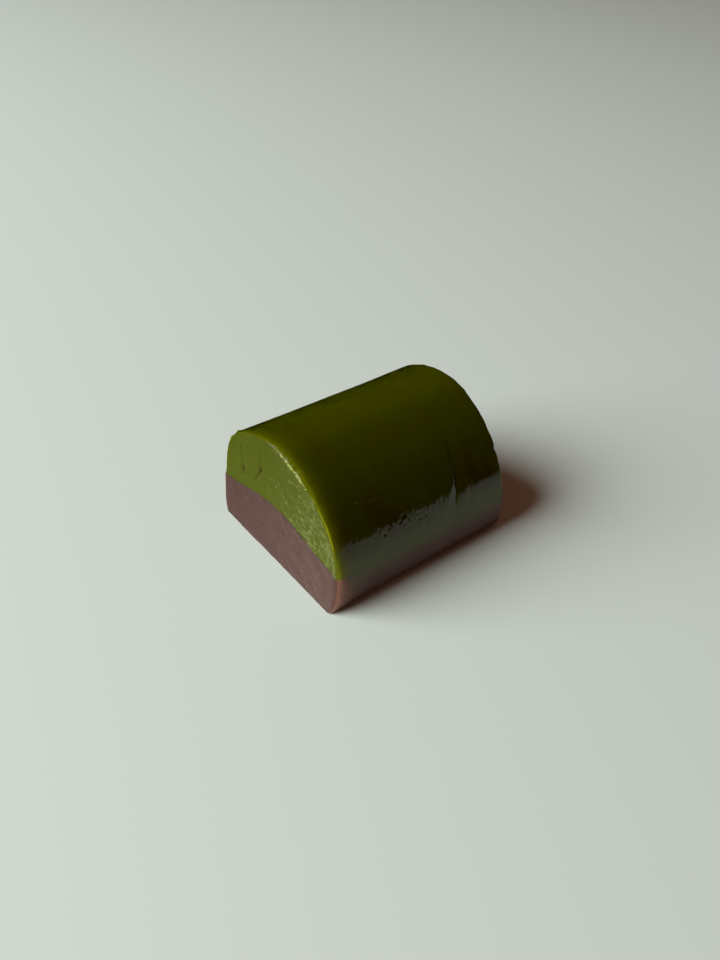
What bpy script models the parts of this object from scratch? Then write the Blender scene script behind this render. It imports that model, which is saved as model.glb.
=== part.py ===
"""Two-layer yokan: a length cut from a round-topped loaf of firm bean jelly.

A purple azuki layer lies below, and its top is gently domed. A green matcha layer arches over
it and comes down to a thin edge at both long sides. Both ends are knife cuts, a little out of
square. X runs across the loaf, Y along it from the front cut to the back one, and Z is up from
the face that the piece rests on. The origin is the middle of that face.
"""

import math

import bmesh
import bpy
from mathutils import Vector

MM = 0.001

# The whole loaf
LENGTH = 53.7 * MM  # along the foot, between the two cuts
WIDTH = 48.0 * MM  # across the belly, the level where the walls are widest
HEIGHT = 36.0 * MM
BELLY_Z = 7.5 * MM
FOOT_TUCK = 1.4 * MM  # how far each wall comes in below the belly, down to the foot
FOOT_CURVE = 3.0  # the higher, the straighter the wall and the tighter its turn at the foot
SAG = 0.25 * MM  # the crown dips this much halfway along

# The crown is half an ellipse with two faults, as all hand-poured loaves have
SWAY = 1.2 * MM  # both shoulders sit this far to the left
FLAT_DEPTH = 0.35 * MM  # a flat stretch to the right of the top
FLAT_ANGLE = math.radians(66)
FLAT_REACH = math.radians(12)

# The border between the two layers, as its height over X
BORDER_EDGE_Z = 12.6 * MM
BORDER_RISE = 3.8 * MM  # the dome of the azuki layer
BORDER_CREST_X = -0.8 * MM
BORDER_DROOP = (0.4 * MM, 1.5 * MM)  # how far the matcha runs down the left and right walls
DROOP_REACH = 2.2 * MM
BORDER_TILT = 0.012  # the border climbs towards the back cut
LAYER_GAP = 0.3 * MM

# The matcha wall draws in just above the border, so the azuki stands a little proud of it
PINCH = (0.6 * MM, 0.2 * MM)  # at the left and right walls
PINCH_Z = 17.0 * MM
PINCH_REACH = 4.5 * MM
MATCHA_EDGE = 1.0 * MM  # height of the blunt edge that the matcha layer ends in

# The knife cuts: slopes against Z and X, a twist in 1/m, and the depth of the hollow
FRONT_CUT = {"lean": 0.010, "skew": 0.016, "twist": 1.0, "hollow": 1.2 * MM}
BACK_CUT = {"lean": -0.017, "skew": 0.053, "twist": 0.0, "hollow": 0.0}

# Grid steps of each layer: across the loaf, up through the layer, and along the loaf
AZUKI_STEPS = (28, 8, 12)
MATCHA_STEPS = (44, 6, 12)
FOOT_CROWDING = 1.5  # the azuki's levels lie closer together towards the foot

SHADE_SHARP = math.radians(40)  # edges turned more than this are shaded sharp

MATERIALS = {
    "azuki_jelly": {"colour": (0.150, 0.098, 0.085), "roughness": 0.35},
    "matcha_jelly": {"colour": (0.085, 0.105, 0.008), "roughness": 0.22},
}


def mix(a, b, share):
    return a + (b - a) * share


def bump(x, centre, reach):
    """A smooth bump of height 1 at its centre."""
    return math.exp(-(((x - centre) / reach) ** 2))


def crown(angle):
    """The arch over the belly, as x and z. The angle is 0 at the right wall and pi at the left."""
    flat = FLAT_DEPTH * bump(angle, FLAT_ANGLE, FLAT_REACH)
    x = (WIDTH / 2 - flat) * math.cos(angle) - SWAY * math.sin(2 * angle) ** 2
    return x, BELLY_Z + (HEIGHT - BELLY_Z - flat) * math.sin(angle)


def crown_angle(z, side):
    """Where on the arch the height z is, low on the right (+1) or left (-1) side."""
    angle = math.asin((z - BELLY_Z) / (HEIGHT - BELLY_Z))
    return angle if side > 0 else math.pi - angle


def wall_x(z, side):
    """Where the right (+1) or left (-1) wall is at height z."""
    if z >= BELLY_Z:
        return crown(crown_angle(z, side))[0]
    return side * (WIDTH / 2 - FOOT_TUCK * (1 - z / BELLY_Z) ** FOOT_CURVE)


def border_z(x, along):
    """Height of the border between the layers at x, at a share of the way to the back cut."""
    dome = BORDER_RISE * math.cos(math.pi * (x - BORDER_CREST_X) / WIDTH) ** 2
    left, right = BORDER_DROOP
    droop = left * bump(x, -WIDTH / 2, DROOP_REACH) + right * bump(x, WIDTH / 2, DROOP_REACH)
    return BORDER_EDGE_Z + dome - droop + BORDER_TILT * LENGTH * along


def cut_y(x, z, end, cut):
    """Where a knife cut is at x and z. end is -1 for the front cut and +1 for the back one."""
    hollow = cut["hollow"] * 4 * z * (HEIGHT - z) / HEIGHT**2
    return end * LENGTH / 2 + cut["lean"] * z + cut["skew"] * x + cut["twist"] * x * z + hollow


def in_loaf(x, z, along):
    """The point at x and z of a cross-section, at a share of the way from cut to cut."""
    front = cut_y(x, z, -1, FRONT_CUT)
    back = cut_y(x, z, 1, BACK_CUT)
    sag = SAG * math.sin(math.pi * along) * (z / HEIGHT) ** 2
    return Vector((x, mix(front, back, along), z - sag))


def azuki_point(across, up, along):
    """From the left wall, at across 0, to the right, and from the foot, at up 0, to the border."""
    x = mix(-WIDTH / 2, WIDTH / 2, across)
    z = (border_z(x, along) - LAYER_GAP / 2) * up**FOOT_CROWDING
    return in_loaf(mix(wall_x(z, -1), wall_x(z, 1), across), z, along)


def matcha_point(across, up, along):
    """From the left wall to the right, and from the border, at up 0, to the crown."""
    feet = [(border_z(side * WIDTH / 2, along) + LAYER_GAP / 2, side) for side in (-1, 1)]
    angles = [crown_angle(z + MATCHA_EDGE, side) for z, side in feet]
    left_end, right_end = (crown(angle)[0] for angle in angles)
    crown_x, crown_z = crown(mix(*angles, across))
    share = (crown_x - left_end) / (right_end - left_end)
    border_x = mix(*(wall_x(z, side) for z, side in feet), share)
    x = mix(border_x, crown_x, up)
    z = mix(border_z(border_x, along) + LAYER_GAP / 2, crown_z, up)
    towards_walls = abs(2 * across - 1) ** 6
    pinch = mix(PINCH[0], -PINCH[1], across) * towards_walls * bump(z, PINCH_Z, PINCH_REACH)
    return in_loaf(x + pinch, z, along)


def material(name):
    made = bpy.data.materials.new(name)
    made.use_nodes = True
    shader = made.node_tree.nodes["Principled BSDF"]
    shader.inputs["Base Color"].default_value = (*MATERIALS[name]["colour"], 1.0)
    shader.inputs["Roughness"].default_value = MATERIALS[name]["roughness"]
    shader.inputs["Metallic"].default_value = 0.0
    return made


def layer(name, steps, point, material_name):
    """A cube cut into a grid of steps (across, up, along), each corner carried to its point."""
    grid = bmesh.new()
    bmesh.ops.create_cube(grid, size=1.0)
    across, up, along = steps
    for axis, count in enumerate((across, along, up)):
        edges = [
            edge
            for edge in grid.edges
            if abs(edge.verts[0].co[axis] - edge.verts[1].co[axis]) > 0.5
        ]
        bmesh.ops.subdivide_edges(grid, edges=edges, cuts=count - 1, use_grid_fill=True)
    for corner in grid.verts:
        corner.co = point(corner.co.x + 0.5, corner.co.z + 0.5, corner.co.y + 0.5)
    mesh = bpy.data.meshes.new(name)
    grid.to_mesh(mesh)
    grid.free()
    mesh.shade_smooth()
    mesh.set_sharp_from_angle(angle=SHADE_SHARP)
    mesh.materials.append(material(material_name))
    return bpy.data.objects.new(name, mesh)


def stand_on_origin(layers):
    """Shifts the meshes together until the box round them is centred, with its bottom at 0."""
    corners = [vertex.co for made in layers for vertex in made.data.vertices]
    low = Vector(min(corner[axis] for corner in corners) for axis in range(3))
    high = Vector(max(corner[axis] for corner in corners) for axis in range(3))
    shift = Vector((-(low.x + high.x) / 2, -(low.y + high.y) / 2, -low.z))
    for made in layers:
        for vertex in made.data.vertices:
            vertex.co += shift


def main():
    for old in list(bpy.data.objects):
        bpy.data.objects.remove(old)
    loaf = bpy.data.collections.new("yokan")
    bpy.context.scene.collection.children.link(loaf)
    layers = [
        layer("azuki_layer", AZUKI_STEPS, azuki_point, "azuki_jelly"),
        layer("matcha_layer", MATCHA_STEPS, matcha_point, "matcha_jelly"),
    ]
    stand_on_origin(layers)
    for made in layers:
        loaf.objects.link(made)


main()
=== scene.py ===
"""Looks for a cut piece of two-layer yokan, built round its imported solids.

A domed layer of purple azuki jelly lies under an arched layer of green matcha jelly. The outside
of the loaf set against a smooth mould and is dark and glossy. Both ends are knife cuts, paler and
rougher. The front one also has dents and torn flakes.
"""

import math

import bpy
import numpy as np
from bpy.props import FloatProperty, FloatVectorProperty, IntProperty, PointerProperty
from bpy.types import Operator, Panel, PropertyGroup
from mathutils import Matrix, Vector


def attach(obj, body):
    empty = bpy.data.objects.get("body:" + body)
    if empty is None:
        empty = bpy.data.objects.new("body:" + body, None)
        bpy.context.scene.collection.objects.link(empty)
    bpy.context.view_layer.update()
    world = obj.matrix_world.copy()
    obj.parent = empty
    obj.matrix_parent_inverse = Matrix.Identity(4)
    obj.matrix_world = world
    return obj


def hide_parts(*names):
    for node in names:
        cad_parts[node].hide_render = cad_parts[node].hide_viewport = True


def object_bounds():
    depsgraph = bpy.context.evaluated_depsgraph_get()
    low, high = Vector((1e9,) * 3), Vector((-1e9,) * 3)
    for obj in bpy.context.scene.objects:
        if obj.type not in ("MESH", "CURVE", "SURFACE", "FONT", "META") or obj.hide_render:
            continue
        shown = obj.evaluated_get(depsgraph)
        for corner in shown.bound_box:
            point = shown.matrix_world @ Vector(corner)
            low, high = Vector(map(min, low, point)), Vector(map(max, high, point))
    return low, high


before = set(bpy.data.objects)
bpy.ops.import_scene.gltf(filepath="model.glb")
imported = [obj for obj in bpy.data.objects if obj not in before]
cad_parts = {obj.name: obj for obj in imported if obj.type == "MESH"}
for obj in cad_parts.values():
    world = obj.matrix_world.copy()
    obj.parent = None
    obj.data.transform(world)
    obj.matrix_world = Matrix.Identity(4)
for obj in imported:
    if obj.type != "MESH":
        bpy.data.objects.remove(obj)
CAD_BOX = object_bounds()

bl_info = {
    "name": "Two-layer yokan",
    "version": (1, 0, 0),
    "blender": (4, 5, 0),
    "location": "View3D > Sidebar > Yokan",
    "description": "A cut piece of azuki and matcha bean jelly, with its stage",
    "category": "Add Mesh",
}

MM = 0.001
CAD_SIZE = [high - low for low, high in zip(*CAD_BOX)]

# Cross-section of the loaf, as in its solids
SWAY = 1.2 * MM  # both shoulders sit this far to the left
FLAT_DEPTH = 0.35 * MM  # a flat stretch to the right of the top
FLAT_ANGLE = math.radians(66)
FLAT_REACH = math.radians(12)
FOOT_CURVE = 3.0
SAG = 0.25 * MM
PINCH = (0.6 * MM, 0.2 * MM)  # the matcha wall draws in just above the border, left and right
PINCH_Z = 17.0 * MM
PINCH_REACH = 4.5 * MM

# The border between the layers
BORDER_RISE = 3.8 * MM
BORDER_CREST_X = -0.8 * MM
BORDER_DROOP = (0.4 * MM, 1.5 * MM)
DROOP_REACH = 2.2 * MM
BORDER_TILT = 0.012
BORDER_RIPPLE = 0.12 * MM
RIPPLE_LENGTH = 2.6 * MM
RIPPLES_ALONG = 9
OVERLAP = 0.03 * MM  # how far each layer reaches past the border into the other

# The mesh
ARCH_POINTS, WALL_POINTS, FOOT_POINTS = 2000, 600, 4000  # of outlines before they are resampled
CROWDED = (22 * MM, 26 * MM)  # below these heights the right wall has twice the points
FURROWED = (20.5 * MM, 23 * MM)  # beyond these Y the rows of the skin are no longer crowded
GROUP = 8  # cells of the rim that one cell of the hidden border surface spans
SHARP_ANGLE = math.radians(50)
LATTICE = (97, 89)  # sides of the table of drawn values that noise repeats
# rim is how much painted light shows near the rims
ATTRIBUTES = ("cut", "rim", "marks", "torn", "worn")

# Where the finish, with its painted light and shade, changes: from one place to another, and the
# shares there if not 0 and 1
STAIN = (6.5 * MM, 11.5 * MM)  # heights over which the azuki's skin turns as green as the matcha's low wall, with its painted light
SIDE = (-10 * MM, 10 * MM)  # X over which that green sets in, on the right side only
SHADE = (21 * MM, 28 * MM, 1.0, 0.15)  # painted shade: heights over which the skin's brown clouds fade, so it is darker low down
LOW_WALL = (17.5 * MM, 13 * MM, 0.0, 0.85)  # painted light: heights over which the wall turns lighter downwards, for light from the table
FILM = (3 * MM, 13 * MM, 0.25, 0.75)  # heights over which the film of syrup gets thicker
LIT_SIDE = (-18 * MM, 22 * MM)  # X over which painted light starts to show through the front rim
LIT_SKIN = (17 * MM, 23 * MM)  # heights over which painted light at the back rim fades
LIT_CORNER = (13 * MM, 19 * MM)  # heights over which the right corner's stronger painted light fades
LIT_FROM = 0.45  # reaches behind the rim from which the painted light fades

# The knife cuts: slopes against Z and X, a twist in 1/m, and the depth of the hollow
FRONT_CUT = {"lean": 0.010, "skew": 0.016, "twist": 1.0, "hollow": 1.2 * MM}
BACK_CUT = {"lean": -0.017, "skew": 0.053, "twist": 0.0, "hollow": 0.0}
CUT_SLOPE_LENGTH = 53.7 * MM

# Noise as relief: its height, and the sizes of its bumps in two directions
FRONT_WAVES = (0.06 * MM, 5 * MM, 11 * MM)
FRONT_GRAIN = (0.020 * MM, 0.55 * MM, 1.1 * MM)
BACK_WAVES = (0.10 * MM, 4 * MM, 12 * MM)
BACK_GRAIN = (0.03 * MM, 0.8 * MM, 3.5 * MM)
MATCHA_RAGGED = (0.10 * MM, 1.1 * MM, 1.1 * MM)
AZUKI_RAGGED = (0.05 * MM, 1.1 * MM, 1.1 * MM)

# Torn flakes in mm: ranges of their X, Z, length, half width and height
FLAKES = ((-24, 24), (0.5, 36), (0.3, 1.3), (0.16, 0.34), (-0.085, 0.085))

# Marks on the front cut in mm: start and end as X and Z, half width, and height (minus is sunk)
MARKS = [
    ((-14.0, 27.5), (-14.3, 20.5), 0.55, -0.08),
    ((-14.3, 20.2), (-14.8, 18.4), 0.70, -0.14),
    ((-14.5, 19.6), (-13.2, 18.2), 0.35, -0.12),
    ((-5.0, 31.5), (-6.1, 24.8), 0.50, -0.08),
    ((-6.1, 24.6), (-6.5, 23.9), 0.55, -0.15),
    ((-5.2, 24.9), (-4.4, 24.4), 0.32, -0.12),
    ((-6.6, 23.7), (-8.9, 19.9), 0.46, -0.14),
    ((8.8, 15.2), (12.0, 14.9), 0.20, -0.14),
    ((9.8, 15.9), (14.0, 15.2), 0.26, 0.12),
    ((1.4, 14.6), (2.3, 13.0), 0.18, 0.10),
    ((2.3, 13.0), (3.9, 12.0), 0.16, 0.12),
    ((3.9, 12.0), (4.2, 10.6), 0.18, 0.09),
    ((-18.3, 9.9), (-17.6, 8.7), 0.22, -0.14),
    ((-14.0, 11.3), (-12.4, 10.2), 0.16, 0.12),
    ((-13.4, 11.5), (-12.0, 10.6), 0.16, -0.12),
    ((-6.4, 6.8), (-5.6, 6.5), 0.28, -0.12),
    ((7.7, 10.3), (8.1, 9.4), 0.22, -0.09),
    ((17.4, 5.8), (18.7, 5.4), 0.20, 0.08),
    ((-2.9, 25.1), (-2.1, 24.8), 0.28, -0.10),
    ((-2.6, 24.5), (-2.2, 24.3), 0.34, 0.10),
    ((1.1, 25.4), (1.3, 24.8), 0.34, 0.09),
    ((2.4, 22.6), (3.0, 21.9), 0.34, 0.08),
    ((14.2, 28.9), (14.7, 27.2), 0.32, 0.14),
    ((17.2, 25.0), (17.7, 24.0), 0.24, 0.20),
    ((22.2, 14.8), (22.6, 13.5), 0.35, 0.14),
]

RIGHT_WALL = 8 * MM  # the marks of the right wall lie beyond this X
FURROW_Z = 17
# Its furrows in mm: Y at that height, lean, widths before and behind, depth, foot and tip
FURROWS = [
    (11.70, 0.11, (7.0, 5.0), 0.50, (13.0, 21.0)),
    (16.45, 0.10, (3.5, 2.0), 0.10, (13.5, 19.5)),
    (20.15, 0.10, (2.0, 5.0), 0.09, (14.0, 18.5)),
    (7.30, 0.12, (1.3, 0.9), 0.12, (15.0, 21.2)),
    (5.75, 0.10, (1.4, 0.7), 0.08, (14.5, 20.5)),
    (3.30, 0.05, (1.0, 0.6), 0.05, (15.0, 20.5)),
    (-0.75, 0.05, (0.8, 0.8), 0.06, (15.0, 19.5)),
    (-7.80, 0.05, (1.4, 0.6), 0.05, (15.5, 20.5)),
    (-11.40, 0.04, (0.6, 0.7), 0.06, (14.5, 19.0)),
    (-16.30, 0.04, (1.2, 0.7), 0.04, (15.5, 20.0)),
]
# The main furrow's far side stays deep above its tip: Y, lean, width, depth, tip and top in mm
NOTCH = (11.70, 0.11, 5.0, 0.60, (21.0, 32.0))
# Its pits in mm: Y, Z, reach and depth (minus stands out)
PITS = [
    (1.5, 16.6, 0.50, 0.12),
    (1.3, 15.2, 0.45, 0.10),
    (0.7, 13.2, 0.50, 0.12),
    (-11.3, 17.0, 0.45, 0.14),
    (-0.7, 16.6, 0.40, 0.14),
    (8.6, 9.4, 0.45, -0.12),
    (9.8, 9.9, 0.30, -0.09),
    (6.9, 8.3, 0.30, -0.07),
    (-15.2, 6.7, 0.30, -0.08),
]
# A chafed line in mm: Y and Z of its ends, and half width
SCRATCH = ((-17.5, 25.9), (-10.9, 24.7), 0.3)
SCRATCH_HEIGHT = 0.20 * MM
BULGE = (0.17, -0.10)  # mm by which the right shoulder swells in front and is sunk behind

# Burrs and nicks that the knife left on the arch's rims in mm: X, reach and height
BURRS = {
    "front": [
        (-19.3, 0.8, 0.16), (-17.4, 1.1, -0.14), (-15.2, 0.7, 0.24), (-13.0, 0.5, -0.16),
        (14.5, 0.6, 0.12),
    ],
    "back": [(6.5, 0.6, 0.20), (17.5, 0.9, 0.22), (19.0, 0.4, -0.25), (-8.0, 0.8, 0.18)],
}

# The stage
FLOOR_SIDES = 96
FAR_FLOOR = 2.0  # radius in metres
FLOOR_STEP = 0.01 * MM  # how far it lies below the near part
BOARD_ROUGHNESS = 0.6
CAMERA_TURN = (51.11, 39.77, 2.42)  # azimuth, elevation and roll in degrees
CAMERA_LENS = 31.08
CAMERA_AIM = (4.19, -4.39, 18.0)  # in mm, as is the distance
CAMERA_DISTANCE = 204.87
CAMERA_NEAR = 0.01


def linear(code):
    """An sRGB hex code such as #5A6413 as linear red, green and blue."""
    parts = (int(code[i : i + 2], 16) / 255 for i in (1, 3, 5))
    return tuple(p / 12.92 if p <= 0.04045 else ((p + 0.055) / 1.055) ** 2.4 for p in parts)


def mix(a, b, share):
    """A blend of a and b: a plus the share of the way to b."""
    return a + (b - a) * share


def bump(x, centre, reach):
    """A smooth bump of height 1: e to the minus square of the distance over the reach."""
    return np.exp(-(((x - centre) / reach) ** 2))


def ramp(x, low, high):
    """0 up to low, 1 from high, and a smooth step between them."""
    t = np.clip((x - low) / (high - low), 0, 1)
    return t * t * (3 - 2 * t)


def noise(u, v, seed):
    """Smooth noise from -1 to 1 with about one bump a unit: drawn values on a lattice, blended
    between each point's four neighbours by smooth steps."""
    table = np.random.default_rng(seed).uniform(-1, 1, LATTICE)
    cell_u, cell_v = np.floor(u).astype(int), np.floor(v).astype(int)
    du, dv = ramp(u - cell_u, 0, 1), ramp(v - cell_v, 0, 1)

    def drawn(i, j):
        return table[(cell_u + i) % LATTICE[0], (cell_v + j) % LATTICE[1]]

    return mix(mix(drawn(0, 0), drawn(1, 0), du), mix(drawn(0, 1), drawn(1, 1), du), dv)


def rough(u, v, relief, seed):
    """Noise of a height, with bumps of one size along u and another along v."""
    height, size_u, size_v = relief
    return height * noise(u / size_u, v / size_v, seed)


def stroke(x, z, start, end, half_width):
    """A rounded line from start to end: a bump over the distance to the nearest point on it."""
    (x0, z0), (x1, z1) = start, end
    run_x, run_z = x1 - x0, z1 - z0
    share = np.clip(((x - x0) * run_x + (z - z0) * run_z) / (run_x**2 + run_z**2), 0, 1)
    away = np.hypot(x - x0 - share * run_x, z - z0 - share * run_z)
    return bump(away, 0, half_width)


# ---- Cross-section


def crown(loaf, angle):
    """The arch over the belly: an ellipse with swayed shoulders and one flat stretch. The angle
    runs from 0 at the right wall to pi at the left."""
    flat = FLAT_DEPTH * bump(angle, FLAT_ANGLE, FLAT_REACH)
    x = (loaf.width / 2 - flat) * np.cos(angle) - SWAY * np.sin(2 * angle) ** 2
    return x, loaf.belly + (loaf.height - loaf.belly - flat) * np.sin(angle)


def crown_angle(loaf, z, side):
    """The angle at which the arch is at height z: the arcsine of its share of the rise."""
    angle = np.arcsin((z - loaf.belly) / (loaf.height - loaf.belly))
    return angle if side > 0 else math.pi - angle


def wall_x(loaf, z, side):
    """The wall at height z: the arch above the belly, and below it a power curve that tucks in."""
    above = crown(loaf, crown_angle(loaf, np.maximum(z, loaf.belly), side))[0]
    low = np.clip(1 - z / loaf.belly, 0, 1)
    below = side * (loaf.width / 2 - loaf.foot_tuck * low**FOOT_CURVE)
    return np.where(z >= loaf.belly, above, below)


def border_z(loaf, x, along):
    """The border between the layers: a low squared-cosine dome that droops at both walls, climbs
    a little towards the back cut, and has a fine ripple."""
    dome = BORDER_RISE * np.cos(math.pi * (x - BORDER_CREST_X) / loaf.width) ** 2
    left, right = BORDER_DROOP
    half = loaf.width / 2
    droop = left * bump(x, -half, DROOP_REACH) + right * bump(x, half, DROOP_REACH)
    ripple = BORDER_RIPPLE * noise(x / RIPPLE_LENGTH, along * RIPPLES_ALONG, 3)
    return loaf.border_edge + dome - droop + ripple + BORDER_TILT * CUT_SLOPE_LENGTH * along


def resample(points, count, density=1.0):
    """The same curve with its points spread along its length, evenly or by a density."""
    steps = np.hypot(*np.diff(points, axis=0).T) * density
    length = np.concatenate([[0], np.cumsum(steps)])
    even = np.linspace(0, length[-1], count)
    return np.stack([np.interp(even, length, points[:, i]) for i in (0, 1)], axis=1)


def soften(points, reach):
    """Rounds the corners of an even curve: each point becomes the mean of those within reach."""
    spacing = np.hypot(*(points[1] - points[0]))
    side = max(1, round(reach / spacing))
    weights = np.hanning(2 * side + 3)[1:-1]
    weights /= weights.sum()
    padded = np.pad(points, ((side, side), (0, 0)), mode="reflect", reflect_type="odd")
    return np.stack([np.convolve(padded[:, i], weights, "valid") for i in (0, 1)], axis=1)


def crown_outline(loaf, along, count):
    """The matcha's outside: the arch from the left end of the border to its right end, with the
    walls drawn in just above the border. Points are closest on the furrowed right wall."""
    ends = [
        crown_angle(loaf, border_z(loaf, side * loaf.width / 2, along) - OVERLAP, side)
        for side in (-1, 1)
    ]
    across = np.linspace(0, 1, ARCH_POINTS)
    x, z = crown(loaf, mix(*ends, across))
    towards_walls = abs(2 * across - 1) ** 6
    x += mix(PINCH[0], -PINCH[1], across) * towards_walls * bump(z, PINCH_Z, PINCH_REACH)
    crowd = 1 + (1 - ramp(z[1:], *CROWDED)) * (x[1:] > 0)
    return resample(np.stack([x, z], axis=1), count, crowd)


def foot_outline(loaf, along, count):
    """The azuki's outside: down the left wall, along the foot and up the right wall, with both
    foot corners rounded off."""
    tops = [border_z(loaf, side * loaf.width / 2, along) + OVERLAP for side in (-1, 1)]
    down, up = (np.linspace(top, 0, WALL_POINTS) for top in tops)
    left = np.stack([wall_x(loaf, down, -1), down], axis=1)
    drawn = PINCH[1] * bump(up, PINCH_Z, PINCH_REACH)
    right = np.stack([wall_x(loaf, up, 1) - drawn, up], axis=1)[::-1]
    even = resample(np.concatenate([left, right]), FOOT_POINTS)
    return resample(soften(even, loaf.foot_round), count)


def outward(points, sign):
    """Unit normals of a curve, to the left of its run for sign 1 and to the right for -1."""
    run = np.gradient(points, axis=0)
    run /= np.hypot(run[:, 0], run[:, 1])[:, None]
    return sign * np.stack([-run[:, 1], run[:, 0]], axis=1)


# ---- Knife cuts


def tear(loaf, x, z):
    """How torn the front cut is, from 0 to 1: smooth at the upper left of the matcha, rough at its
    lower right, and nearly smooth all over the azuki."""
    green = 0.08 + 0.92 * ramp(x - 0.5 * z, -20 * MM, 6 * MM)
    purple = 0.05 + 0.40 * ramp(x, -20 * MM, 20 * MM)
    return np.where(z > border_z(loaf, x, 0.0), green, purple)


def flakes(loaf, x, z):
    """Torn flakes: short rounded strokes at drawn places, more of them where the cut is torn."""
    draw = np.random.default_rng(loaf.seed)
    height = np.zeros_like(x)
    across, up, lengths, half_widths, lifts = FLAKES
    for _ in range(loaf.flake_count):
        cx, cz = draw.uniform(*across) * MM, draw.uniform(*up) * MM
        lean, length = draw.uniform(0, math.pi), draw.uniform(*lengths) * MM
        width, lift = draw.uniform(*half_widths) * MM, draw.uniform(*lifts) * MM
        if draw.uniform() > tear(loaf, cx, cz) ** 2:
            continue
        dx, dz = length * math.cos(lean) / 2, length * math.sin(lean) / 2
        height += lift * stroke(x, z, (cx - dx, cz - dz), (cx + dx, cz + dz), width)
    return height


def front_relief(loaf, x, z):
    """Height of the front cut's surface: broad drag waves, fine grain, the marks and flakes. The
    height of the last two is also given alone."""
    waves = rough(x, z, FRONT_WAVES, 11)
    grain = rough(x, z, FRONT_GRAIN, 12)
    height = flakes(loaf, x, z)
    for (x0, z0), (x1, z1), half_width, lift in MARKS:
        start, end = (x0 * MM, z0 * MM), (x1 * MM, z1 * MM)
        height += lift * MM * stroke(x, z, start, end, half_width * MM)
    return waves + grain + height, height


def back_relief(loaf, x, z):
    """Height of the back cut's surface: broad drag waves and fine grain, which is also given
    alone."""
    grain = rough(x, z, BACK_GRAIN, 22)
    return rough(x, z, BACK_WAVES, 21) + grain, grain


def cut_y(loaf, x, z, end):
    """A knife cut: a plane with a lean, a skew and a twist, hollow between foot and crown, with
    its relief standing outwards. end is -1 at the front and 1 at the back."""
    cut, relief = (FRONT_CUT, front_relief) if end < 0 else (BACK_CUT, back_relief)
    hollow = cut["hollow"] * 4 * z * (loaf.height - z) / loaf.height**2
    plane = end * CUT_SLOPE_LENGTH / 2 + cut["lean"] * z + cut["skew"] * x + cut["twist"] * x * z
    height, marks = relief(loaf, x, z)
    return plane + hollow + end * height, marks


def shift_y(loaf):
    """How far the whole moves along Y so that its front foot edge lies where the solids' does."""
    foot = -CUT_SLOPE_LENGTH / 2 - FRONT_CUT["skew"] * (loaf.width / 2 - loaf.foot_tuck)
    return CAD_BOX[0][1] - foot


# ---- Moulded skin


def furrow(along, height, run, reach):
    """Two convex sides that meet in a sharp furrow of depth 1: each falls as the square of 1 less
    the distance over its width. The near side narrows evenly from the foot to the tip, and the
    depth fades out at both."""
    before, behind = run
    foot, tip = reach
    narrowing = np.clip((tip - height) / (tip - foot), 0.05, 1)
    width = np.where(along < 0, before * narrowing, behind * (0.3 + 0.7 * narrowing))
    depth = ramp(height, foot - 3, foot + 4) * (1 - ramp(height, tip - 5, tip + 1.5))
    return -depth * np.maximum(0, 1 - abs(along) / width) ** 2


def notch(along, height, width, reach):
    """What makes up for the fading of a furrow's far side, of depth 1 at most: it grows while the
    furrow fades, falls off steeply from its bottom, and fades slowly from the tip to the top."""
    tip, top = reach
    depth = ramp(height, tip - 5, tip + 1.5) * (1 - ramp(height, tip - 2, top))
    return -depth * ramp(along, 0, 0.28) * np.maximum(0, 1 - along / width) ** 2


def chafing(x, y, z):
    """Height of the chafed line on the right wall: a stroke broken up by noise."""
    broken = 0.35 + rough(y, z, (0.65, 0.45 * MM, 0.3 * MM), 34)
    line = stroke(y / MM, z / MM, *SCRATCH)
    return SCRATCH_HEIGHT * line * np.maximum(broken, 0) * (x > RIGHT_WALL)


def skin_relief(x, y, z, across, share):
    """Relief of the moulded skin: slight waves and ragged ripples low on the walls, then on the
    right wall the shoulder's swell, the chafed line, the furrows and the notch where it tore free
    of its mould, and small pits."""
    lift = 0.05 * MM * noise(across * 8, share * 4, 31)
    ragged = rough(y, z, (1, 0.9 * MM, 1.0 * MM), 32) + rough(y, z, (0.5, 0.6 * MM, 0.6 * MM), 33)
    lively = 0.008 + 0.026 * bump(y, -5 * MM, 10 * MM)
    lift = lift + lively * MM * ragged * (1 - ramp(z, 20 * MM, 26 * MM))
    right = x > RIGHT_WALL
    bulge = mix(*BULGE, ramp(y, 4 * MM, 20 * MM))
    lift = lift + bulge * MM * bump(z, 23 * MM, 6 * MM) * right
    lift = lift + chafing(x, y, z)
    for place, lean, run, depth, reach in FURROWS:
        along = y / MM - place - lean * (z / MM - FURROW_Z)
        lift = lift + depth * MM * furrow(along, z / MM, run, reach) * right
    place, lean, width, depth, reach = NOTCH
    along = y / MM - place - lean * (z / MM - FURROW_Z)
    lift = lift + depth * MM * notch(along, z / MM, width, reach) * right
    for place, height, reach, depth in PITS:
        away = np.hypot(y - place * MM, z - height * MM)
        lift = lift - depth * MM * bump(away, 0, reach * MM) * right
    return lift


def burrs(x, z, share):
    """Burrs and nicks on the arch's rim: bumps across the rim that fade along the loaf."""
    lift = np.zeros_like(x)
    for end, off in (("front", share), ("back", 1 - share)):
        near = bump(off * CUT_SLOPE_LENGTH, 0, 0.5 * MM) * (z > 20 * MM)
        for place, width, height in BURRS[end]:
            lift = lift + height * MM * bump(x, place * MM, width * MM) * near
    return lift


def worn(x, z):
    """How worn the front rim is, from 0 to 1: most of all to the right of the top of the arch."""
    return bump(x, 7 * MM, 6.5 * MM) * (z > 20 * MM)


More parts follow.
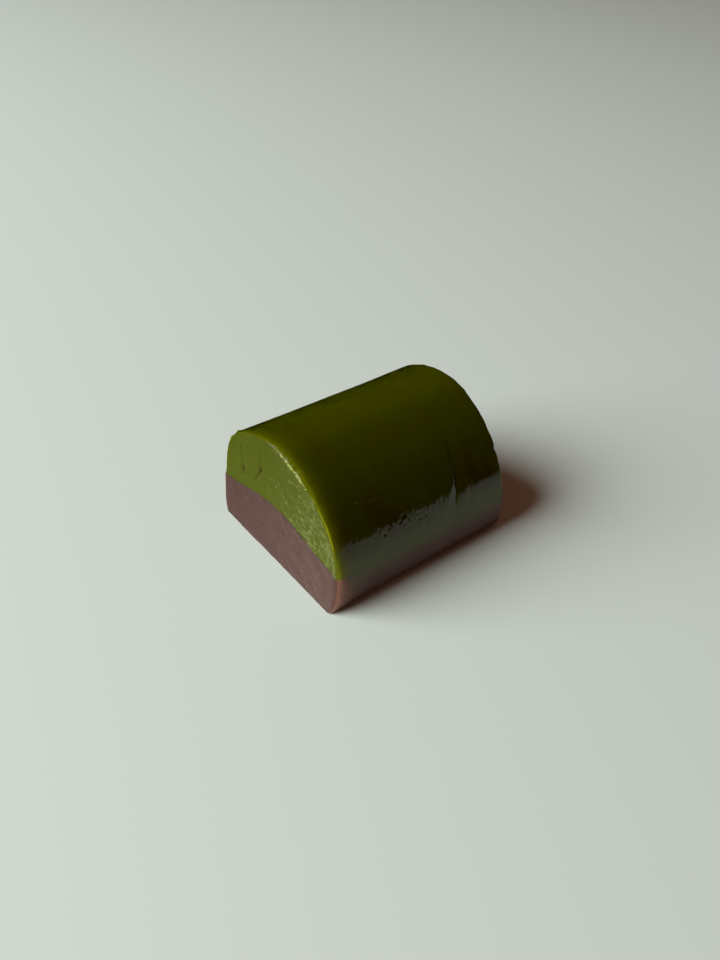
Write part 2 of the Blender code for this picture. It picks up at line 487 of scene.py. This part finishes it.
def matcha_rim(loaf, points, end):
    """Radius of the arch's rim: worn round and crumbled to the right of the top of the front cut,
    and rounder where it meets the azuki's rubbed corner."""
    x, z = points.T
    ragged = rough(x, z, MATCHA_RAGGED, 41)
    if end > 0:
        return loaf.rim_radius + ragged
    low = (loaf.corner_radius - loaf.rim_radius) * (1 - ramp(z, 10 * MM, 19 * MM)) * (x > 0)
    crumbled = 0.75 + rough(x, z, (0.45, 0.9 * MM, 0.9 * MM), 43)
    return 1.3 * loaf.rim_radius + ragged + MM * crumbled * worn(x, z) + low


def azuki_rim(loaf, points, end):
    """Radius of the azuki's rims: the right corner of the front cut is rubbed off from the border
    down, but less so at the foot."""
    x, z = points.T
    ragged = rough(x, z, AZUKI_RAGGED, 42)
    if end > 0:
        return loaf.rim_radius + ragged
    corner = ramp(x, loaf.width / 2 - 2.6 * MM, loaf.width / 2 - 1.2 * MM)
    corner = corner * mix(0.35, 1.0, ramp(z, 0.3 * MM, 4.5 * MM))
    return 0.8 * loaf.rim_radius + ragged + (loaf.corner_radius - loaf.rim_radius) * corner


# ---- One layer as a closed surface


def mesh_object(name, points, triangles, attributes, material):
    """A smooth-shaded object from arrays, with its vertex values as named attributes."""
    mesh = bpy.data.meshes.new(name)
    mesh.from_pydata(points, [], triangles)
    for key, values in attributes.items():
        layer = mesh.attributes.new(key, "FLOAT", "POINT")
        layer.data.foreach_set("value", values.astype(np.float32))
    mesh.shade_smooth()
    mesh.set_sharp_from_angle(angle=SHARP_ANGLE)
    mesh.materials.append(material)
    made = bpy.data.objects.new(name, mesh)
    bpy.context.scene.collection.objects.link(made)
    return made


def facing(faces, flip):
    """Triangles with their turn reversed if flip, and without those that a tip closes."""
    if flip:
        faces = faces[:, ::-1]
    whole = (faces[:, 0] != faces[:, 1]) & (faces[:, 1] != faces[:, 2]) & (faces[:, 2] != faces[:, 0])
    return faces[whole]


def grid_triangles(ids, flip):
    """Two triangles for each cell of a grid of vertex numbers."""
    a, b, c, d = ids[:-1, :-1], ids[1:, :-1], ids[1:, 1:], ids[:-1, 1:]
    faces = np.concatenate([np.stack(t, axis=-1).reshape(-1, 3) for t in ((a, b, c), (a, c, d))])
    return facing(faces, flip)


def fan_triangles(fine, coarse, flip):
    """A strip between a fine row of vertex numbers and a coarse one, each of whose cells faces
    GROUP fine cells."""
    cell = np.arange(len(fine) - 1) // GROUP
    fans = np.stack([fine[:-1], fine[1:], coarse[cell]], axis=1)
    joins = np.stack([fine[GROUP::GROUP], coarse[1:], coarse[:-1]], axis=1)
    return facing(np.concatenate([fans, joins]), flip)


def crowded_rows(count, times):
    """Shares of the length for rows of vertices. They lie so many times closer together up to the
    last furrow: rows are even in the running total of their density."""
    place = np.linspace(0, 1, 400)
    y = (place - 0.5) * CUT_SLOPE_LENGTH
    density = 1 + (times - 1) * (1 - ramp(y, *FURROWED))
    reached = np.concatenate([[0], np.cumsum(density[1:] + density[:-1])])
    return np.interp(np.linspace(0, reached[-1], count + 2)[1:-1], reached, place)


class Layer:
    """The surface of one layer, as a skin round the loaf, two cut faces and the border.

    The skin is the outline carried from cut to cut. Near each cut it turns inwards on an arc of
    the rim's radius: at a turn of t the skin is inset by radius times 1 - sin t and lies radius
    times 1 - cos t behind the cut. The skin takes the turns from 45 to 90 degrees and the cut
    face the rest. A cut face is ruled from the outline to the border.
    """

    def __init__(self, loaf, outline, sign, columns, rim, glow_reach):
        self.loaf, self.sign, self.glow_reach = loaf, sign, glow_reach
        self.across = np.linspace(0, 1, columns)
        self.ends = [outline(loaf, along, columns) for along in (0.0, 1.0)]
        self.normals = [outward(points, sign) for points in self.ends]
        self.rims = [rim(loaf, points, end) for points, end in zip(self.ends, (-1, 1))]
        self.points = []
        self.values = {key: [] for key in ATTRIBUTES}
        self.total = 0
        self.triangles = []

    def add(self, x, y, z, **values):
        """Adds a grid of vertices with values of their attributes, and returns their numbers."""
        shape = x.shape
        self.points.append(np.stack([x, y, z], axis=-1).reshape(-1, 3))
        for key, store in self.values.items():
            store.append(np.broadcast_to(values.get(key, 0), shape).ravel())
        ids = np.arange(self.total, self.total + x.size).reshape(shape)
        self.total += x.size
        return ids

    def skin(self, turns, body):
        """Rows round the front rim, along the loaf and round the back rim."""
        loaf, steps = self.loaf, len(body)
        turn = np.radians(np.linspace(45, 90, turns))
        share = np.concatenate([np.zeros(turns), body, np.ones(turns)])
        rim_front, rim_back = (rim[:, None] for rim in self.rims)
        zero = np.zeros((len(self.across), steps))
        inset = np.concatenate(
            [rim_front * (1 - np.sin(turn)), zero, rim_back * (1 - np.sin(turn[::-1]))], axis=1
        )
        base = mix(self.ends[0][:, None, :], self.ends[1][:, None, :], share[None, :, None])
        normal = mix(self.normals[0][:, None, :], self.normals[1][:, None, :], share[None, :, None])
        near, far = (
            cut_y(loaf, *points.T, end)[0][:, None] + shift_y(loaf)
            for points, end in zip(self.ends, (-1, 1))
        )
        y = mix(near, far, share[None, :])
        lift = skin_relief(base[..., 0], y, base[..., 1], self.across[:, None], share[None, :])
        chafed = chafing(base[..., 0], y, base[..., 1])
        lift = lift + burrs(base[..., 0], base[..., 1], share[None, :])
        x = base[..., 0] - normal[..., 0] * (inset - lift)
        z = base[..., 1] - normal[..., 1] * (inset - lift)
        z = np.maximum(z, 0) - SAG * np.sin(math.pi * share) * (z / loaf.height) ** 2
        front = cut_y(loaf, x[:, :turns], z[:, :turns], -1)[0]
        back = cut_y(loaf, x[:, -turns:], z[:, -turns:], 1)[0]
        front = front + rim_front * (1 - np.cos(turn))
        back = back - rim_back * (1 - np.cos(turn[::-1]))
        between = mix(front[:, -1:], back[:, :1], body[None, :])
        y = np.concatenate([front, between, back], axis=1)
        fade = 0.5 * (1 - np.linspace(0, 1, turns) ** 2)
        cut = np.concatenate([fade, np.zeros(steps), fade[::-1]])
        self.share = share
        self.x, self.y, self.z = x, y, z
        # The rim values are the painted light through the skin
        self.skin_ids = self.add(x, y, z, cut=cut, rim=self.painted_glow(cut), marks=chafed)
        self.triangles.append(grid_triangles(self.skin_ids, self.sign < 0))

    def painted_glow(self, cut):
        """How much painted light shows through the skin: e to the minus distance behind the front rim,
        over its reach, more to the right and most at the low corner, and a little at the back."""
        x, y, z = self.x, self.y, self.z
        beyond = np.maximum((y - y[:, :1]) / self.glow_reach - LIT_FROM, 0)
        low = (x > 0) * (1 - ramp(z, *LIT_SKIN))
        corner = (x > 0) * (1 - ramp(z, *LIT_CORNER))
        front = np.exp(-beyond) * ramp(x, *LIT_SIDE)
        front = front * (1 + 0.5 * corner) * (1 - 0.7 * cut * (1 - corner))
        return front + 0.25 * low * np.exp((y - y[:, -1:]) / (0.7 * MM))

    def border(self, row):
        """X and Z of the border across one row of the skin, closed onto the skin at both ends."""
        loaf, along = self.loaf, self.share[row]
        xs, zs = self.x[[0, -1], row], self.z[[0, -1], row]
        x = mix(xs[0], xs[1], self.across)
        gaps = zs - border_z(loaf, xs, along)
        return x, border_z(loaf, x, along) + mix(gaps[0], gaps[1], self.across)

    def cut_face(self, end, rows):
        """One knife cut, ruled from the outline to the border with rows crowded at the rim."""
        loaf, which, row = self.loaf, (end + 1) // 2, -1 if end > 0 else 0
        border_x, border_height = self.border(row)
        share = (np.arange(1, rows + 1) / rows) ** 1.3
        x = mix(self.x[:, row, None], border_x[:, None], share)
        z = mix(self.z[:, row, None], border_height[:, None], share)
        outline, normal = self.ends[which], self.normals[which]
        inset = (outline[:, :1] - x) * normal[:, :1] + (outline[:, 1:] - z) * normal[:, 1:]
        rim = self.rims[which][:, None]
        inside = np.clip(inset / rim, 0, 1)
        recede = rim * (1 - np.sqrt(1 - (1 - inside) ** 2))
        y, marks = cut_y(loaf, x, z, end)
        values = {"cut": 0.5 + 0.5 * inside, "marks": marks, "torn": 0.5}
        if end < 0:
            values["torn"] = tear(loaf, x, z)
            near = bump(inset, 0, 1.2 * MM)
            # Painted light through the face beside the front rim
            values["rim"] = near * ramp(x, *LIT_SIDE)
            values["worn"] = near * worn(x, z)
        ids = self.add(x, y - end * recede, z, **values)
        first = self.skin_ids[:, row : row + 1] if end < 0 else self.skin_ids[:, -1:]
        ids = np.concatenate([first, ids], axis=1)
        ids[0], ids[-1] = first[0, 0], first[-1, 0]
        self.triangles.append(grid_triangles(ids, (end < 0) == (self.sign > 0)))
        return ids[:, -1]

    def close(self, front_ids, back_ids):
        """The hidden border surface, ruled along the loaf between the two cut faces, with coarser
        cells than they have."""
        rows = range(1, len(self.share) - 1)
        places = [self.border(row) for row in rows]
        x, z = (np.stack([place[i] for place in places], axis=1)[::GROUP] for i in (0, 1))
        points = np.concatenate(self.points)
        front, back = (points[ids, 1][::GROUP, None] for ids in (front_ids, back_ids))
        shares = (self.y[[0, -1], 1:-1] - front[[0, -1]]) / (back[[0, -1]] - front[[0, -1]])
        y = mix(front, back, mix(shares[0], shares[1], self.across[::GROUP, None]))
        ids = self.add(x, y, z)
        ids[0], ids[-1] = self.skin_ids[0, 1:-1], self.skin_ids[-1, 1:-1]
        flip = self.sign > 0
        self.triangles.append(grid_triangles(ids, flip))
        self.triangles.append(fan_triangles(front_ids, ids[:, 0], flip))
        self.triangles.append(fan_triangles(back_ids, ids[:, -1], not flip))

    def build(self, name, material, turns, body, face_rows):
        """Makes the surface and its object: turns is the rows round each rim, body the shares of
        the length of the rows between, and face_rows those of the front and the back cut."""
        self.skin(turns, body)
        front = self.cut_face(-1, face_rows[0])
        back = self.cut_face(1, face_rows[1])
        self.close(front, back)
        points = np.concatenate(self.points)
        points[:, 1] += shift_y(self.loaf)
        triangles = np.concatenate(self.triangles)
        used, numbers = np.unique(triangles, return_inverse=True)
        attributes = {key: np.concatenate(value)[used] for key, value in self.values.items()}
        return mesh_object(name, points[used], numbers.reshape(-1, 3), attributes, material)


# ---- Materials


def add(tree, kind, inputs=None, **settings):
    """Adds a node with its settings. Inputs gives its sockets values or other nodes' sockets."""
    made = tree.nodes.new(kind)
    for key, value in settings.items():
        setattr(made, key, value)
    for key, value in (inputs or {}).items():
        if isinstance(value, bpy.types.NodeSocket):
            tree.links.new(value, made.inputs[key])
        else:
            made.inputs[key].default_value = value
    return made


def blank(name):
    """A new material with its shader and its tree."""
    material = bpy.data.materials.new(name)
    material.use_nodes = True
    tree = material.node_tree
    return material, tree, tree.nodes["Principled BSDF"]


def opaque(colour):
    """A colour with full alpha."""
    return (*colour, 1.0)


def jelly(name, looks, colours, scatter, stain_colour=None):
    """Agar bean jelly, set in a mould and cut with a knife. The moulded skin is smooth, with a film of
    syrup, and lets light deep into the jelly, so it looks dark and glossy. A cut breaks up the surface
    and scatters light there, so it looks dull, and paler where it tore, with flecks. Light shows
    through beside the front rim, which is crumbly and wet. The colours are those of the cut, the torn
    cut, its flecks, the painted shade in the dents and low on the skin, the skin, the painted light
    through it and the low wall with painted light from the table. Pale crumbs paint a highlight on the
    front rim, and the chafed line is painted paler for the floor's glints. A stain from the layer
    above colours the top of the skin's right side."""
    dull, pale, fleck, deep, smooth, lit, low = (opaque(colour) for colour in colours)
    material, tree, shader = blank(name)
    place = add(tree, "ShaderNodeTexCoord").outputs["Object"]
    across, _, height = add(tree, "ShaderNodeSeparateXYZ", {"Vector": place}).outputs
    cut, rim, marks, torn, worn_rim = (
        add(tree, "ShaderNodeAttribute", attribute_name=key).outputs["Fac"] for key in ATTRIBUTES
    )

    def pattern(size, turn, detail, distortion=0.0):
        """Noise with blotches of the given X, Y and Z sizes, turned about Y."""
        inputs = {"Vector": place, "Rotation": (0, turn, 0), "Scale": size}
        turned = add(tree, "ShaderNodeMapping", inputs, vector_type="TEXTURE").outputs[0]
        inputs = {"Vector": turned, "Scale": 1.0, "Detail": detail, "Distortion": distortion}
        return add(tree, "ShaderNodeTexNoise", inputs).outputs["Fac"]

    def mask(*factors):
        """The product of its factors. Each is a value, or a value with the two ends of its range
        and, if these aren't stretched to 0 and 1, what they are stretched to."""
        product = None
        for factor in factors:
            if isinstance(factor, tuple):
                factor = add(tree, "ShaderNodeMapRange", dict(enumerate(factor))).outputs[0]
            if product is not None:
                inputs = {0: product, 1: factor}
                factor = add(tree, "ShaderNodeMath", inputs, operation="MULTIPLY").outputs[0]
            product = factor
        return product

    def overlaid(colour, *layers):
        """A colour with others laid over it, each through its mask."""
        for share, over in layers:
            inputs = {"Factor": share, 6: colour, 7: over}
            colour = add(tree, "ShaderNodeMix", inputs, data_type="RGBA").outputs[2]
        return colour

    length, width = looks.fleck_length, looks.fleck_width
    flecks = pattern((length, width, width), looks.drag_slope, 3.0, 0.6)
    crumbs = pattern((looks.crumb,) * 3, 0.0, 1.0)
    mottle = pattern((3 * length, 3 * width, 3 * width), looks.drag_slope, 2.0)
    ripples = pattern((2 * MM, looks.ripple_width, 3 * looks.ripple_width), 0.0, 2.0)
    clouds = pattern((looks.cloud, 0.4 * looks.cloud, looks.cloud), 0.0, 1.0)

    wet = mask(worn_rim, (cut, 0.4, 0.7))
    raised = mask((marks, 0.02 * MM, 0.12 * MM, 0.0, 0.8))
    face = overlaid(
        dull,
        (mask((mottle, 0.3, 0.7, 0.3, 0.9), torn), pale),
        (mask((mask(flecks, (torn, 0.0, 1.0, 0.7, 1.0)), 0.50, 0.62)), fleck),
        (raised, fleck),
        # Painted shade in the sunk dents
        (mask((marks, -0.04 * MM, -0.28 * MM)), deep),
    )
    skin = overlaid(
        smooth,
        # Painted shade: the skin darker and browner low down, in clouds
        (mask((clouds, 0.35, 0.65, 0.3, 1.0), (height, *SHADE)), deep),
        # Painted light: the low wall lighter, for light from the table
        (mask((height, *LOW_WALL)), low),
        # Painted reflection: the chafed line's raised parts paler, for the floor's glints on them
        (mask(raised, 0.35), fleck),
        # Painted light through the rim and the corner
        (mask(rim, (cut, 0.0, 0.5, 1.0, 0.85), looks.painted_glow), lit),
    )
    if stain_colour:
        stain = mask((height, *STAIN), (rim, 0.0, 1.0, 1.0, 0.0), (across, *SIDE))
        skin = overlaid(skin, (stain, opaque(stain_colour)))
    # Painted highlight: pale crumbs along the worn front rim, where the key light's highlight falls
    crumbled = add(tree, "ShaderNodeMath", {0: worn_rim, 1: crumbs}, operation="ADD").outputs[0]
    colour = overlaid(
        skin,
        (mask((cut, 0.4, 0.9)), face),
        (mask((crumbled, 0.92, 1.12), (cut, 0.55, 0.8)), opaque(looks.crumb_highlight_colour)),
    )
    tree.links.new(colour, shader.inputs["Base Color"])

    rough_cut = mask((mask(cut, cut, cut), 0.0, 1.0, looks.skin_roughness, looks.cut_roughness))
    tree.links.new(rough_cut, shader.inputs["Roughness"])
    gloss = mask((cut, 0.0, 0.3, 1.0, 0.0), (rim, 0.0, 0.8, 1.0, 0.0), (height, *FILM))
    for shine in (mask(raised, looks.flake_shine), wet):
        gloss = add(tree, "ShaderNodeMath", {0: gloss, 1: shine}, operation="MAXIMUM").outputs[0]
    tree.links.new(gloss, shader.inputs["Coat Weight"])

    relief = mask(flecks, cut, (torn, 0.0, 1.0, 0.15, 1.0), looks.fleck_depth)
    on_rim = mask(crumbs, wet, looks.crumb_depth)
    on_skin = mask(ripples, (cut, 0.0, 0.3, 1.0, 0.0), looks.ripple_depth)
    for other in (on_rim, on_skin):
        relief = add(tree, "ShaderNodeMath", {0: relief, 1: other}, operation="ADD").outputs[0]
    bumped = add(tree, "ShaderNodeBump", {"Height": relief, "Distance": 1.0, "Strength": 1.0})
    for socket in ("Normal", "Coat Normal"):
        tree.links.new(bumped.outputs["Normal"], shader.inputs[socket])
    constants = {
        "IOR": looks.ior,
        "Specular IOR Level": looks.dull_sheen,
        "Coat IOR": looks.ior,
        "Coat Roughness": looks.skin_roughness,
        "Subsurface Weight": looks.translucency,
        "Subsurface Radius": scatter,
        "Subsurface Scale": looks.scatter_scale,
    }
    for socket, value in constants.items():
        shader.inputs[socket].default_value = value
    return material


# ---- Settings


def length_property(name, description, default):
    """A size in metres."""
    return FloatProperty(name=name, description=description, default=default, unit="LENGTH")


def share_property(name, description, default):
    """A share from 0 to 1."""
    return FloatProperty(name=name, description=description, default=default, min=0, max=1)


def colour_property(name, description, code):
    """A colour with an sRGB hex code as its default."""
    return FloatVectorProperty(
        name=name, description=description, default=linear(code), subtype="COLOR", min=0, max=1
    )


class LoafShape(PropertyGroup):
    """Sizes of the loaf and its cuts."""

    width: length_property("Width", "Across the belly", CAD_SIZE[0])
    height: length_property("Height", "From foot to crown", 36.0 * MM)
    belly: length_property("Belly", "Height at which the walls are widest", 7.5 * MM)
    foot_tuck: length_property("Foot tuck", "How far the foot comes in", 1.4 * MM)
    foot_round: length_property("Foot rounding", "Reach of the round at the foot", 0.8 * MM)
    border_edge: length_property("Border", "Height of the border at the walls", 12.6 * MM)
    rim_radius: length_property("Rim radius", "Rounding of the cuts' rims", 0.45 * MM)
    corner_radius: length_property(
        "Corner radius", "Rounding of the front cut's right corner", 1.6 * MM
    )
    # Reaches of the painted light through the rim and the corner
    matcha_glow_reach: length_property(
        "Matcha glow reach", "How far light through the rim reaches", 1.3 * MM
    )
    azuki_glow_reach: length_property(
        "Azuki glow reach", "How far light through the corner reaches", 1.8 * MM
    )
    flake_count: IntProperty(name="Flakes", description="Torn flakes drawn", default=700, min=0)
    seed: IntProperty(name="Seed", description="Seed of the drawn flakes", default=7)


class JellyLooks(PropertyGroup):
    """Finish of both jellies."""

    fleck_length: length_property("Fleck length", "Of the torn cut", 1.3 * MM)
    fleck_width: length_property("Fleck width", "Of the torn cut", 0.8 * MM)
    fleck_depth: length_property("Fleck depth", "Of the torn cut", 0.22 * MM)
    crumb: length_property("Crumb", "Size of the front rim's crumbs", 0.5 * MM)
    crumb_depth: length_property("Crumb depth", "Of the front rim", 0.06 * MM)
    drag_slope: FloatProperty(
        name="Drag slope", description="How far the knife's drag falls to the right",
        default=math.radians(20), subtype="ANGLE",
    )
    ripple_width: length_property("Ripple width", "Fine upright ripples of the skin", 0.5 * MM)
    ripple_depth: length_property("Ripple depth", "Fine upright ripples of the skin", 0.05 * MM)
    flake_shine: share_property("Flake shine", "How glossy raised flakes are", 0.3)
    ior: FloatProperty(
        name="IOR", description="Of sugar and agar jelly", default=1.40, min=1, max=2
    )
    dull_sheen: share_property("Dull sheen", "Of the jelly under its film of syrup", 0.15)
    scatter_scale: length_property("Scatter", "How far light spreads inside", 2.2 * MM)
    cloud: length_property("Cloud", "Size of the skin's darker clouds", 14 * MM)
    skin_roughness: share_property("Skin roughness", "Of the moulded skin", 0.02)
    cut_roughness: share_property("Cut roughness", "Of the knife cuts", 0.75)
    translucency: share_property("Translucency", "Share of light that goes in", 0.8)
    # Strength of the painted light at the rims
    painted_glow: share_property("Glow", "How strongly light shows at rims", 0.6)
    # Painted highlight on the front rim's crumbs
    crumb_highlight_colour: colour_property("Crumbs", "Wet crumbs of the front rim", "#A6B262")
    matcha_cut: colour_property("Matcha cut", "The green cut", "#495308")
    matcha_pale: colour_property("Matcha torn", "The green cut where it tore", "#565F22")
    matcha_fleck: colour_property("Matcha flecks", "Flecks and flakes on it", "#6E7740")
    # Painted shade in the dents and low on the skin, in clouds
    matcha_shade_and_clouds: colour_property("Matcha deep", "Dents and clouds in the green", "#342900")
    matcha_skin: colour_property("Matcha skin", "The green moulded skin", "#3A4000")
    # Painted light through the green rim
    matcha_painted_glow: colour_property("Matcha rim", "Light through the green rim", "#98A412")
    # Painted light from the table on the green low wall
    matcha_low_wall_painted_light: colour_property("Matcha low wall", "The green wall lit by the table", "#4A4E0A")
    azuki_cut: colour_property("Azuki cut", "The purple cut", "#4F3A34")
    azuki_pale: colour_property("Azuki torn", "The purple cut where it tore", "#73615B")
    azuki_fleck: colour_property("Azuki flecks", "Flecks and flakes on it", "#74615A")
    # Painted shade in the dents, and the skin's darker clouds
    azuki_shade_and_clouds: colour_property("Azuki deep", "Dents and clouds in the purple", "#40271D")
    azuki_skin: colour_property("Azuki skin", "The purple moulded skin", "#4A2B1F")
    # Painted light through the purple corner
    azuki_painted_glow: colour_property("Azuki corner", "Light through the purple corner", "#BC8C78")
    # Painted light from the table on the purple wall
    azuki_low_wall_painted_light: colour_property("Azuki wall", "The purple wall lit by the table", "#58382F")


class StageLooks(PropertyGroup):
    """Floor, light and camera."""

    floor: colour_property("Floor", "Colour of the floor", "#D2E1D9")
    surround: colour_property("Surround", "Dim light from all round", "#5A3A2D")
    mirrored: length_property(
        "Mirrored floor", "Radius of the floor that glossy skin mirrors", 0.125
    )
    mirrored_at: FloatVectorProperty(
        name="Mirrored floor at", description="Its centre", default=(0.06, 0.035), size=2,
        subtype="XYZ", unit="LENGTH",
    )
    key_power: FloatProperty(name="Key", description="Watts of the key light", default=53.5)
    key_size: length_property("Key size", "Width of the key light", 1.6)
    key_distance: length_property("Key distance", "From the loaf to the key", 1.8)
    key_direction: FloatVectorProperty(
        name="Key direction", description="From the loaf to the key",
        default=(-0.35, -0.76, 0.57), subtype="DIRECTION",
    )


# ---- Operators


class YOKAN_OT_azuki(Operator):
    """Make the purple azuki layer, moulded and cut"""

    bl_idname = "yokan.azuki"
    bl_label = "Azuki layer"

    def execute(self, context):
        loaf, looks = context.scene.yokan_loaf, context.scene.yokan_looks
        material = jelly(
            "azuki bean jelly", looks,
            (
                looks.azuki_cut, looks.azuki_pale, looks.azuki_fleck, looks.azuki_shade_and_clouds,
                looks.azuki_skin, looks.azuki_painted_glow, looks.azuki_low_wall_painted_light,
            ),
            # The stain takes the green low wall's colour, painted light included
            (1.0, 0.5, 0.35), looks.matcha_low_wall_painted_light,
        )
        layer = Layer(
            loaf, foot_outline, sign=-1, columns=289, rim=azuki_rim, glow_reach=loaf.azuki_glow_reach
        )
        rows = crowded_rows(110, times=1)
        piece = layer.build("azuki_jelly", material, turns=7, body=rows, face_rows=(90, 24))
        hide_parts("azuki_layer")
        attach(piece, "root")
        return {"FINISHED"}


class YOKAN_OT_matcha(Operator):
    """Make the green matcha layer, moulded and cut"""

    bl_idname = "yokan.matcha"
    bl_label = "Matcha layer"

    def execute(self, context):
        loaf, looks = context.scene.yokan_loaf, context.scene.yokan_looks
        material = jelly(
            "matcha bean jelly", looks,
            (
                looks.matcha_cut, looks.matcha_pale, looks.matcha_fleck, looks.matcha_shade_and_clouds,
                looks.matcha_skin, looks.matcha_painted_glow, looks.matcha_low_wall_painted_light,
            ),
            (1.0, 0.9, 0.15),
        )
        layer = Layer(
            loaf, crown_outline, sign=1, columns=241, rim=matcha_rim, glow_reach=loaf.matcha_glow_reach
        )
        rows = crowded_rows(232, times=3)
        piece = layer.build("matcha_jelly", material, turns=7, body=rows, face_rows=(86, 22))
        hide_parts("matcha_layer")
        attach(piece, "root")
        return {"FINISHED"}


class YOKAN_OT_stage(Operator):
    """Set up the floor, the light and the camera"""

    bl_idname = "yokan.stage"
    bl_label = "Stage"

    def execute(self, context):
        scene, stage = context.scene, context.scene.yokan_stage
        lay_floor(stage)
        light_up(scene, stage)
        place_camera(scene)
        return {"FINISHED"}


def lay_floor(stage):
    """A wide floor of matt board in two parts of one look: a round part under the loaf, and the
    rest a hair below it. The loaf mirrors and is lit by only the round part, as on a plate."""
    material, _, shader = blank("matt white board")
    shader.inputs["Base Color"].default_value = opaque(stage.floor)
    shader.inputs["Roughness"].default_value = BOARD_ROUGHNESS
    angle = np.linspace(0, 2 * math.pi, FLOOR_SIDES, endpoint=False)
    rings = (
        ("near_floor", stage.mirrored, stage.mirrored_at, 0.0),
        ("far_floor", FAR_FLOOR, (0, 0), -FLOOR_STEP),
    )
    for name, radius, (x, y), z in rings:
        level = np.full(FLOOR_SIDES, z)
        points = np.stack([x + radius * np.cos(angle), y + radius * np.sin(angle), level], axis=1)
        floor = mesh_object(name, points, [range(FLOOR_SIDES)], {}, material)
        floor.visible_glossy = floor.visible_diffuse = name == "near_floor"


def light_up(scene, stage):
    """A broad soft key light from the front left, and a dim warm surround that glossy skin does
    not mirror."""
    data = bpy.data.lights.new("key", "AREA")
    data.shape = "DISK"
    data.size = stage.key_size
    data.energy = stage.key_power
    key = bpy.data.objects.new("key", data)
    towards = Vector(stage.key_direction).normalized()
    key.location = towards * stage.key_distance
    key.rotation_euler = towards.to_track_quat("Z", "Y").to_euler()
    key.visible_camera = False
    scene.collection.objects.link(key)
    world = bpy.data.worlds.new("surround")
    scene.world = world
    world.use_nodes = True
    world.node_tree.nodes["Background"].inputs["Color"].default_value = opaque(stage.surround)
    world.cycles_visibility.glossy = False


def place_camera(scene):
    """A camera at the height of a seated diner, a little rolled."""
    azimuth, elevation, roll = (math.radians(angle) for angle in CAMERA_TURN)
    forward = Vector(
        (
            -math.sin(azimuth) * math.cos(elevation),
            math.cos(azimuth) * math.cos(elevation),
            -math.sin(elevation),
        )
    )
    level = forward.cross(Vector((0, 0, 1))).normalized()
    above = level.cross(forward)
    right = math.cos(roll) * level + math.sin(roll) * above
    up = math.cos(roll) * above - math.sin(roll) * level
    data = bpy.data.cameras.new("camera")
    data.lens = CAMERA_LENS
    data.clip_start = CAMERA_NEAR
    camera = bpy.data.objects.new("camera", data)
    place = Vector(CAMERA_AIM) * MM - forward * CAMERA_DISTANCE * MM
    turn = Matrix((right, up, -forward)).transposed()
    camera.matrix_world = Matrix.Translation(place) @ turn.to_4x4()
    scene.collection.objects.link(camera)
    scene.camera = camera
    scene.view_settings.view_transform = "Standard"


class YOKAN_PT_panel(Panel):
    """Buttons and settings in the sidebar"""

    bl_idname = "YOKAN_PT_panel"
    bl_label = "Two-layer yokan"
    bl_space_type = "VIEW_3D"
    bl_region_type = "UI"
    bl_category = "Yokan"

    def draw(self, context):
        for operator in OPERATORS:
            self.layout.operator(operator.bl_idname)
        for group in (context.scene.yokan_loaf, context.scene.yokan_looks, context.scene.yokan_stage):
            box = self.layout.box()
            for key in group.bl_rna.properties.keys():
                if key not in ("rna_type", "name"):
                    box.prop(group, key)


OPERATORS = (YOKAN_OT_azuki, YOKAN_OT_matcha, YOKAN_OT_stage)
GROUPS = {"yokan_loaf": LoafShape, "yokan_looks": JellyLooks, "yokan_stage": StageLooks}


def register():
    """Adds the settings, the operators and the panel."""
    for group in (*GROUPS.values(), *OPERATORS, YOKAN_PT_panel):
        bpy.utils.register_class(group)
    for key, group in GROUPS.items():
        setattr(bpy.types.Scene, key, PointerProperty(type=group))


def unregister():
    """Takes them all away again."""
    for key in GROUPS:
        delattr(bpy.types.Scene, key)
    for group in (YOKAN_PT_panel, *OPERATORS, *GROUPS.values()):
        bpy.utils.unregister_class(group)


def main():
    """Makes both layers and the stage."""
    register()
    bpy.ops.yokan.azuki()
    bpy.ops.yokan.matcha()
    bpy.ops.yokan.stage()


if __name__ == "__main__":
    main()
